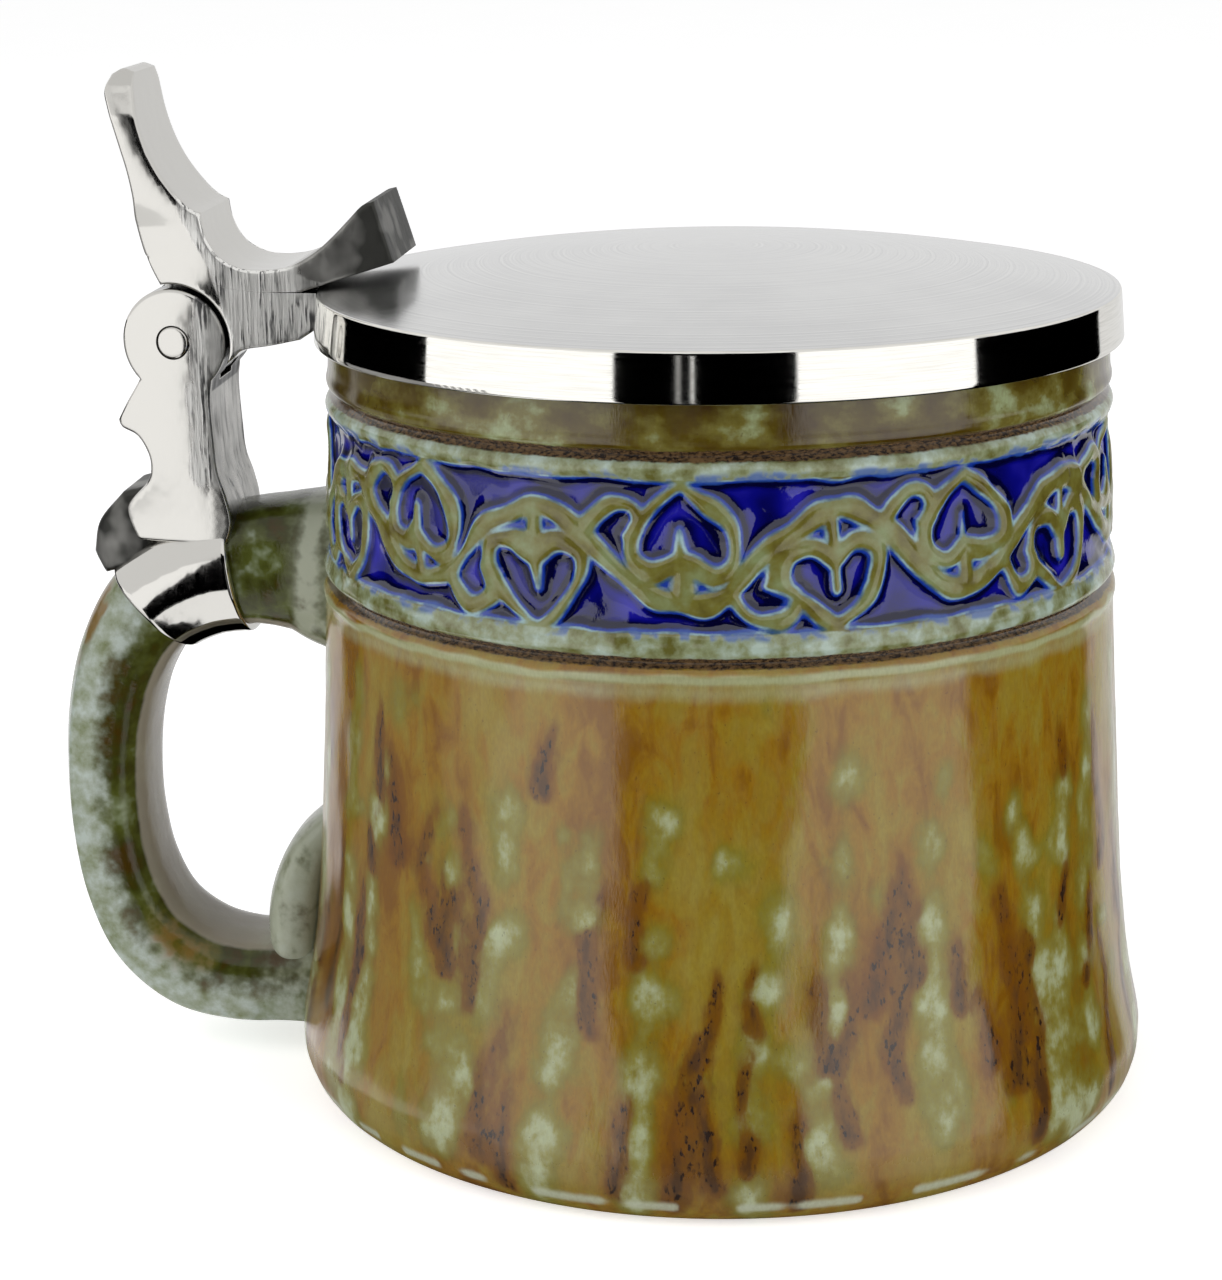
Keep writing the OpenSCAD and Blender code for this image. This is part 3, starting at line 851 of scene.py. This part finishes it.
def arc(radius, start, stop, count):
    """Points on a circle round the pin, angles in degrees."""
    a = np.radians(np.linspace(start, stop, count))
    return list(zip(radius * np.cos(a), radius * np.sin(a)))


def half_depth(x, z):
    """Half thickness of lever and pillar: crowned, and tapering to the horn's tip."""
    base = np.interp(z, [13, 17, 24, 29, 33, 33.6, 36], [HALF_W, 8.4, 8.1, 7.7, 6.8, 6.4, 4.3])
    centre = np.interp(z, [3, 11, 15, 18, 21, 24, 27, 30, 34],
                       [3.8, 8, 6.3, 2.6, 0, -2.3, -3.9, -5.4, -6.0])
    bend = np.interp(z, [10, 20, 30], [0.012, 0.014, 0.02])
    lean = 0.07 * smooth(-13, -27, z) * np.maximum(0, 6.5 - x)
    return base - bend * np.minimum(x - centre, 0) ** 2 - lean


def outline_of(runs_of_points, step):
    """Joins smooth runs into one closed outline; returns points and each edge's run number."""
    pts, run_of = [], []
    for number, run in enumerate(runs_of_points):
        curve = spline(run, step) if len(run) > 2 else np.array(
            [np.array(run[0]) + (np.array(run[1]) - run[0]) * f
             for f in np.linspace(0, 1, max(2, int(math.dist(*run) / step)))])
        pts.append(curve[:-1])
        run_of += [number] * (len(curve) - 1)
    return np.vstack(pts), np.array(run_of)


def edge_distance(points, starts, ends):
    """Distance from each point to the nearest of the edges."""
    best = np.full(len(points), 1e9)
    for a, b in zip(starts, ends):
        d = b - a
        t = np.clip(((points - a) @ d) / max(d @ d, 1e-12), 0, 1)
        best = np.minimum(best, np.hypot(*(points - a - t[:, None] * d).T))
    return best


def inside(points, outline):
    """Even-odd test of points against a closed outline."""
    result = np.zeros(len(points), bool)
    for a, b in zip(outline, np.roll(outline, -1, 0)):
        crosses = (a[1] > points[:, 1]) != (b[1] > points[:, 1])
        with np.errstate(divide="ignore", invalid="ignore"):
            x = a[0] + (points[:, 1] - a[1]) * (b[0] - a[0]) / (b[1] - a[1])
        result ^= crosses & (points[:, 0] < x)
    return result


def nowhere(x, z):
    """A layer that is empty all over."""
    return 0 * x


def slab(name, runs_of_points, depth, bevel=0.45, step=0.45, seams=(), brush=nowhere, wall_rows=10,
         edge_brush=0.3, wall_brush=0.0, dull_dark_reflection=nowhere, material=None):
    """A plate of the given outline with rounded edges.

    depth(x, z) is its half thickness; the other two functions fill the layers of their names: brush
    marks, and rougher faces with a painted dark reflection.
    No edge is rounded along the runs listed in seams.
    """
    outline, run_of = outline_of(runs_of_points, step)
    area = np.sum(outline[:, 0] * np.roll(outline[:, 1], -1) - np.roll(outline[:, 0], -1) * outline[:, 1])
    if area < 0:
        outline, run_of = outline[::-1], np.roll(run_of[::-1], -1)
    ends = np.roll(outline, -1, 0)
    keep = ~np.isin(run_of, seams)
    tangent = ends - np.roll(outline, 1, 0)
    inward = np.c_[-tangent[:, 1], tangent[:, 0]]
    inward /= np.linalg.norm(inward, axis=1)[:, None]
    insets = bevel * np.array([0.05, 0.18, 0.38, 0.65, 1.0])
    low, high = outline.min(0), outline.max(0)
    gap = 0.62
    gx, gz = np.meshgrid(np.arange(low[0], high[0], gap), np.arange(low[1], high[1], gap))
    gx = gx + gap / 2 * (np.arange(gx.shape[0]) % 2)[:, None]
    field = np.c_[gx.ravel(), gz.ravel()]
    ring = np.vstack([outline + inward * d for d in insets])
    ring_wants = np.repeat(insets, len(outline)) * 0.93
    ring = ring[inside(ring, outline) & (edge_distance(ring, outline, ends) > ring_wants)]
    field = field[inside(field, outline)]
    field = field[edge_distance(field, outline, ends) > bevel * 1.3]
    points = np.vstack([outline, ring, field])
    verts, _, faces, _, _, _ = geometry.delaunay_2d_cdt(
        [Vector(p) for p in points], [], [list(range(len(outline)))], 1, 1e-5)
    flat = np.array([v[:] for v in verts])
    n = len(outline)
    d = edge_distance(flat, outline[keep], ends[keep])
    rest = np.clip(bevel - d, 0, bevel)
    drop = bevel - np.sqrt(np.maximum(bevel ** 2 - rest ** 2, 0))
    half = depth(flat[:, 0], flat[:, 1]) - drop
    near = np.c_[flat[:, 0], -half, flat[:, 1]]
    far = near * (1, -1, 1)
    count = len(flat)
    tris = [list(f) for f in faces] + [[i + count for i in f][::-1] for f in faces]
    share = np.linspace(0, 1, wall_rows + 1)[1:-1]
    wall = [near[:n] + (far[:n] - near[:n]) * f for f in share]
    starts = [0] + [2 * count + k * n for k in range(len(wall))] + [count]
    quads = [[a + i, b + i, b + (i + 1) % n, a + (i + 1) % n]
             for a, b in zip(starts[:-1], starts[1:]) for i in range(n)]
    everything = np.vstack([near, far] + wall)
    x, z = everything[:, 0], everything[:, 2]
    on_wall = np.arange(len(everything)) >= 2 * count
    marks = brush(x, z) + 0 * x
    marks[:n] *= edge_brush
    marks[on_wall] = wall_brush * (x[on_wall] > 0)
    # Painted shade: edge faces close round the pin, inside the hinge's gaps, are marked to go near black.
    gap_shade = smooth(8.3, 7.9, np.hypot(x, z)) * on_wall
    layers = {"brush": marks, "gap_shade": gap_shade, "dull_dark_reflection": dull_dark_reflection(x, z) + 0 * x}
    everything += (PIN_X, 0, PIN_Z)
    return sharpen(check_outward(piece(name, everything, tris + quads, layers, material)))


def rod(name, radius, half, bevel=0.02, dome=0.0, gap_shade=1.0, tilt=0.0, material=None):
    """A round bar along Y through the pin's centre, with rounded rims."""
    sides = 72
    a = np.linspace(0, math.pi / 2, 5)
    end = [(radius - bevel + bevel * math.cos(t), half - bevel + bevel * math.sin(t)) for t in a]
    cap = [(f * (radius - bevel), half + dome * (1 - f * f)) for f in (0.75, 0.5, 0.25, 0.02)]
    profile = [(r, -y) for r, y in (end + cap)[::-1]] + end + cap
    rings = [[(PIN_X + r * math.cos(t), y + math.copysign(tilt, y) * r * math.cos(t),
               PIN_Z + r * math.sin(t)) for t in around(sides)] for r, y in profile]
    faces = grid_faces(len(profile), sides) + end_faces(len(profile), sides)
    # This layer marks the rod for painted shade; the tools that cut slot and hole pass it on to the faces
    # they cut.
    layers = {"gap_shade": np.full(len(profile) * sides, gap_shade)}
    return sharpen(check_outward(piece(name, rings, faces, layers, material)))


def straight(*corners):
    """Straight runs of an outline from corner to corner."""
    return [list(pair) for pair in zip(corners[:-1], corners[1:])]


def brush_marks(x, z):
    """Where the upright brush marks show: the right of ear and pillar, and the shank."""
    in_ear = np.hypot(x, z) < EAR_R + 0.3
    ear = smooth(1.2, 4.2, x - 0.06 * z) * smooth(-22, -16, z) * in_ear
    pillar = smooth(0.0, 3.5, x) * smooth(-22, -17, z) * smooth(-4, -6, z)
    slant = np.interp(z, [-2, 2, 9.7, 15, 20], [8, 7.2, 5, 2.4, 0.5])
    fade_from = np.interp(z, [7, 9], [22, 15.5])
    fade_to = np.interp(z, [7, 9], [24, 18.5])
    arm = smooth(-0.8, 1.2, x - slant) * smooth(fade_to, fade_from, x) * smooth(-4, -3, z) * ~in_ear
    return np.clip(np.maximum(np.maximum(ear, pillar), arm), 0, 1)


def bracket(material):
    """Pillar with two round ears, cut for the knuckle and drilled for the pin, and its beak."""
    left = [(-4.9, -5), (-5.5, -6), (-6.8, -8), (-8.3, -10.6)]
    notch = [(-8.3, -10.6), (-7.8, -11.6), (-5.7, -12.6), (-4.4, -14.6), (-4, -16.6), (-4.6, -18.8),
             (-7.2, -21.4), (-8, -22.6), (-7.8, -24.4), (-6.6, -27)]
    right = [(6, -27), (6.8, -24), (6.2, -20.6), (5.2, -17.4), (4.9, -14), (4.6, -8), (4.9, -5)]
    # The pillar's right side is darkened as a painted dark reflection.
    body = slab("bracket", [arc(EAR_R, -45.6, 225.6, 40), left, notch, [notch[-1], right[0]], right],
                half_depth, brush=brush_marks, wall_rows=14, wall_brush=0.5,
                dull_dark_reflection=lambda x, z: 0.6 * smooth(3.9, 4.8, x))
    # The faces cut for the slot and the hole take the tools' painted shade.
    combine(body, rod("slot_tool", SLOT_R, SLOT_HALF), "DIFFERENCE")
    combine(body, rod("hole_tool", HOLE_R, 20), "DIFFERENCE")
    sharpen(body)
    body.data.materials.append(material)
    nose = [(-8.5, -20.6), (-12.4, -25), (-13.6, -29.4)]
    # The beak is darkened all over as a painted dark reflection.
    beak = slab("bracket_beak",
                [[(-4.5, -19.5), nose[0]], nose, *straight(nose[-1], (-11.8, -32), (-6, -30)),
                 [(-6, -30), (-4, -24), (-4.5, -19.5)]],
                lambda x, z: 6 - 0.08 * (x + 8) ** 2 * (x < -8), 0.8, 0.5, dull_dark_reflection=lambda x, z: 1.4,
                material=material)
    return body, beak


def pin(material):
    """Pin through both ears, its ends slightly domed."""
    return rod("pin", 2.1, 8.4, 0.3, 0.05, 0.0, 0.13, material)


def shank(material):
    """Arm from the hinge to the lid, with the turning middle knuckle."""
    top = [(-3.3, 11), (3, 9.4), (7, 7.4), (12, 6.7)]
    hollow = arc(EAR_CLEAR, -22, 101, 24)
    under = [(17, 0.5), (13.1, -0.3), (9.4, -0.9), (8.2, -1.9), hollow[0]]
    arm = slab("shank", [top, *straight(top[-1], (24, 6.6), (24, 5), under[0]), under, hollow,
                         [hollow[-1], (-2.5, 9.3), top[0]]],
               half_depth, 0.4, seams=(0, 1), brush=brush_marks, wall_rows=14)
    knuckle = arc(KNUCKLE_R, 110, 340, 40)
    heel = straight(knuckle[-1], (9.5, 0.5), (8, 6), (-0.5, 9.5), knuckle[0])
    tongue = slab("tongue", [knuckle, *heel], lambda x, z: KNUCKLE_HALF + 0 * x, 0.2, 0.5)
    combine(arm, tongue, "UNION")
    arm.data.materials.append(material)
    return sharpen(arm)


def thumb_lever(material):
    """Two-horned lever: tall horn behind, short horn over the lid, thumb saddle between."""
    back = [(-3.3, 11), (-3.7, 11.9), (-4.5, 15.5), (-4.6, 18.8), (-5.2, 22.4), (-6.2, 26),
            (-7.4, 30.2), (-7.8, 32.4), (-7, 34.4)]
    tip = [(-7, 34.4), (-5.6, 35.1), (-4.2, 34.6)]
    blade = [(-4.2, 34.6), (-3.9, 31.8), (-3.5, 28.8), (-2.5, 25.4), (-1, 22.3), (1.1, 19.4),
             (2.9, 17.6), (4.4, 16.8)]
    saddle = [(4.4, 16.8), (4.7, 14.8), (5.4, 12.9), (6.8, 11.1), (9, 9.9), (11.4, 9.5), (14.4, 9.7),
              (16.8, 10.4), (19.5, 12), (21.6, 13.8), (23.8, 16), (25.7, 17.9), (27.2, 18.4)]
    seat = [(12, 6.7), (7, 7.4), (3, 9.4), (-3.3, 11)]
    ends = straight(saddle[-1], (29.6, 10.6), (17.6, 6.8), seat[0])
    # The short horn's saddle and its end face are darkened as a painted dark reflection.
    return slab("thumb_lever", [back, tip, blade, saddle, *ends, seat],
                half_depth, 0.42, seams=(6, 7), brush=brush_marks, wall_rows=18,
                dull_dark_reflection=lambda x, z: smooth(15, 19, x) * smooth(6, 8, z) + 0.7 * smooth(24, 27, x),
                material=material)


# ---------- lid ----------

RIM_HIGH = 107.0
LID_R = 51.9
DOME_RISE = DOME_TOP - RIM_HIGH
DOME_R = (LID_R ** 2 + DOME_RISE ** 2) / (2 * DOME_RISE)


def dome_z(r):
    return DOME_TOP - DOME_R + np.sqrt(DOME_R ** 2 - r ** 2)


def lid(top_material, rim_material):
    """Domed disc with a turned-down rim, hollow underneath."""
    cols = 360
    edge, foot_round, plate = 0.35, 0.3, 1.9
    r_top = np.concatenate([np.linspace(0.4, LID_R - 1.2, 60), np.linspace(LID_R - 1.1, LID_R - edge, 5)])
    top = np.c_[r_top, dome_z(r_top)]
    a = np.radians(np.linspace(80, 0, 5))
    corner_z = dome_z(LID_R - edge) - edge
    corner = np.c_[LID_R - edge + edge * np.cos(a), corner_z + edge * np.sin(a)]
    z = np.linspace(corner_z - 0.2, RIM_LOW + foot_round, 12)
    rim = np.stack([LID_R + (RIM_R_LOW - LID_R) * (RIM_HIGH - z) / (RIM_HIGH - RIM_LOW), z], -1)
    b = np.radians(np.linspace(-20, -90, 4))
    foot = np.stack([rim[-1, 0] - foot_round + foot_round * np.cos(b),
                     RIM_LOW + foot_round + foot_round * np.sin(b)], -1)
    inner = np.array([(51.3, RIM_LOW), (51.15, RIM_LOW + 0.15), (51.15, 102.5), (51.15, 104.2),
                      (50.9, 104.3), (46, 104.3), (45.5, 104.5)])
    r_in = np.linspace(45.4, 0.4, 30)
    hollow = np.c_[r_in, dome_z(r_in) - plate]
    outline = np.vstack([top, corner, rim, foot, inner, hollow])
    faces = grid_faces(len(outline), cols) + end_faces(len(outline), cols)
    obj = piece("lid_dome", lathe(outline, cols), faces, None, top_material)
    obj.data.materials.append(rim_material)
    check_outward(obj)
    boundary = len(top) + 1
    for polygon in obj.data.polygons:
        row = min(polygon.vertices) // cols
        polygon.material_index = 0 if row < boundary else 1
    return sharpen(obj, 30)


# ---------- camera, light and floor ----------

CAMERA_DISTANCE, CAMERA_HEIGHT = 398.4, 167.15
CAMERA_AZIMUTH = math.radians(5)
CAMERA_PITCH, CAMERA_YAW, CAMERA_ROLL = 0.2648, -0.036, -0.0127
CAMERA_LENS = 86.7


def camera():
    """Camera at the photograph's viewing angle, a little above the lid."""
    data = bpy.data.cameras.new("camera")
    data.lens, data.sensor_width = CAMERA_LENS, 36
    data.clip_start, data.clip_end = 0.01, 50
    obj = bpy.data.objects.new("camera", data)
    obj.matrix_world = (Matrix.Rotation(CAMERA_AZIMUTH, 4, "Z")
                        @ Matrix.Translation(Vector((0, -CAMERA_DISTANCE, CAMERA_HEIGHT)) * MM)
                        @ Matrix.Rotation(-CAMERA_YAW, 4, "Z")
                        @ Matrix.Rotation(math.pi / 2 - CAMERA_PITCH, 4, "X")
                        @ Matrix.Rotation(CAMERA_ROLL, 4, "Z"))
    bpy.context.scene.collection.objects.link(obj)
    bpy.context.scene.camera = obj


def glow(name, strength):
    """Material that gives out even white light."""
    material = bpy.data.materials.new(name)
    material.use_nodes = True
    tree = material.node_tree
    tree.nodes.clear()
    light = tree.nodes.new("ShaderNodeEmission")
    light.inputs["Color"].default_value = (1, 1, 1, 1)
    light.inputs["Strength"].default_value = strength
    output = tree.nodes.new("ShaderNodeOutputMaterial")
    tree.links.new(light.outputs[0], output.inputs[0])
    return material


def hide_from(obj, *rays):
    for ray in rays:
        setattr(obj, "visible_" + ray, False)


def reflection_card(name, points, faces, strength):
    """A glowing card of the studio that only shows in reflections."""
    obj = piece(name, points, faces, None, glow(name, strength))
    hide_from(obj, "camera", "diffuse", "shadow", "transmission")


def curved_card(name, start, stop, low, high, strength):
    """Upright card on a circle round the object; angles from -Y towards +X, sizes in metres."""
    radius, count = 1.5, 24
    angles = np.radians(np.linspace(start, stop, count))
    points = [(radius * math.sin(a) / MM, -radius * math.cos(a) / MM, z / MM)
              for z in (low, high) for a in angles]
    faces = [[i, i + 1, count + i + 1, count + i] for i in range(count - 1)]
    reflection_card("card_" + name, points, faces, strength)


def level_square(half, z):
    """Points and face of a level square about the mug's axis."""
    return [(-half, -half, z), (half, -half, z), (half, half, z), (-half, half, z)], [[0, 1, 2, 3]]


def softbox(name, azimuth, elevation):
    """Area light aimed at the object, which doesn't show in reflections."""
    data = bpy.data.lights.new(name, "AREA")
    data.size, data.energy = 0.9, 5.0
    obj = bpy.data.objects.new(name, data)
    a, e = math.radians(azimuth), math.radians(elevation)
    back = Vector((math.sin(a) * math.cos(e), -math.cos(a) * math.cos(e), math.sin(e)))
    obj.location = Vector((0, 0, 0.06)) + back * 1.1
    obj.rotation_euler = back.to_track_quat("Z", "Y").to_euler()
    obj.visible_glossy = False
    bpy.context.scene.collection.objects.link(obj)


def backdrop():
    """White surround that only the camera sees."""
    rows = np.array([-5.9, -4.5, -2, 0, 2, 4.5, 5.9]) / MM
    outline = np.stack([np.sqrt((6 / MM) ** 2 - rows ** 2), rows], -1)
    obj = piece("backdrop", lathe(outline, 48), grid_faces(len(rows), 48), None, glow("backdrop", 1.0))
    hide_from(obj, "diffuse", "glossy", "shadow", "transmission")


def ground():
    """Pale floor, left out of reflections: card_floor stands in for it where pewter mirrors it."""
    s = Shader("floor", Specular_IOR_Level=0.0, Emission_Strength=0.55)
    s.surface.inputs["Emission Color"].default_value = (1, 1, 1, 1)
    s.colour = s.mix(s.noise(0.02, 2), (247, 247, 247), (250.6, 250.6, 250.6))
    floor = piece("floor", *level_square(4000, 0), None, s.finish(0.9))
    hide_from(floor, "glossy")


AMBIENT = 0.45                # light of the white room on the object
SOFTBOX = 1.3                 # brightness of the softboxes where they are mirrored
DIM = 0.7 * SOFTBOX
LOW, MAIN_LOW, MAIN_HIGH, HIGH = -1.0, -0.44, 0.4, 1.5     # heights of the cards' edges in metres

# Name, first and last angle, lower and upper edge, strength of each upright card.
CARDS = [("front_high", -22.6, 26, 0.6, HIGH, 0.8 * SOFTBOX),
         ("side_high", 78.4, 136, 0.25, HIGH, DIM),
         ("behind_high", 231.5, 279.2, 0.25, HIGH, DIM),
         ("behind_low", 240, 300, LOW, -0.1, 0.3),
         ("line_a", -5.9, -4.7, LOW, 0.3, 0.35),
         ("line_b", -1.9, -1.2, LOW, 0.25, 1.0),
         ("back", 136, 231.5, LOW, HIGH, 0.8)]
for side, start, stop in (("left", -80.8, -22.6), ("right", 26, 78.4)):
    CARDS += [(side, start, stop, MAIN_LOW, MAIN_HIGH, SOFTBOX),
              (side + "_low", start, stop, LOW, MAIN_LOW, 0.75 * SOFTBOX),
              (side + "_high", start, stop, MAIN_HIGH, HIGH, DIM)]
# Outline of the bright patch of floor that the strap and the bracket's foot mirror.
FLOOR_PATCH = [(-66, 5), (-100, 5), (-101, -60), (-108, -140), (-86, -140), (-80, -112), (-66, -60)]


def studio():
    """Pale floor, soft lights, and the cards that polished pewter and glaze mirror."""
    world = bpy.data.worlds.new("studio")
    bpy.context.scene.world = world
    world.use_nodes = True
    background = world.node_tree.nodes["Background"]
    background.inputs["Color"].default_value = (1, 1, 1, 1)
    background.inputs["Strength"].default_value = AMBIENT
    world.cycles_visibility.glossy = False
    softbox("key_left", -58, 28)
    softbox("key_right", 60, 25)
    for card in CARDS:
        curved_card(*card)
    reflection_card("card_top", *level_square(1500, 1500), 0.8)
    patch = [(x, y, -0.4) for x, y in FLOOR_PATCH]
    reflection_card("card_floor", patch, [list(range(len(patch)))], 1.2)
    ground()
    backdrop()
    bpy.context.scene.view_settings.view_transform = "Standard"


# ---------- assembly ----------

def place(obj, body, slot, *nodes):
    """Rides a piece on its CAD body and hides the CAD parts that it stands in for."""
    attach(obj, body)
    if nodes:
        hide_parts(*nodes)


def build():
    camera()
    studio()
    glaze = wall_glaze()
    place(vessel_wall(glaze), "stein", "stoneware", "mug_body")
    place(frieze(frieze_glaze()), "stein", "stoneware")
    place(vessel_collar(glaze), "stein", "stoneware")
    place(vessel_inside(cup_glaze()), "stein", "stoneware")
    loop, curl = handle(handle_glaze())
    place(loop, "stein", "stoneware_handle", "handle")
    place(curl, "stein", "stoneware_handle")
    bright = polished_pewter("bright_pewter", 0.1)
    place(strap(polished_pewter("strap_pewter", 0.05)), "stein", "pewter_strap", "strap_band")
    body, beak = bracket(bright)
    place(body, "stein", "pewter_bracket", "hinge_bracket")
    place(beak, "stein", "pewter_bracket")
    place(pin(bright), "stein", "pewter_pin", "hinge_pin")
    place(shank(bright), "lid", "pewter_shank", "lid_shank")
    place(thumb_lever(bright), "lid", "pewter_thumb_lift", "thumb_lift")
    place(lid(satin_lid(), mirror_rim()), "lid", "pewter_lid", "lid")


build()
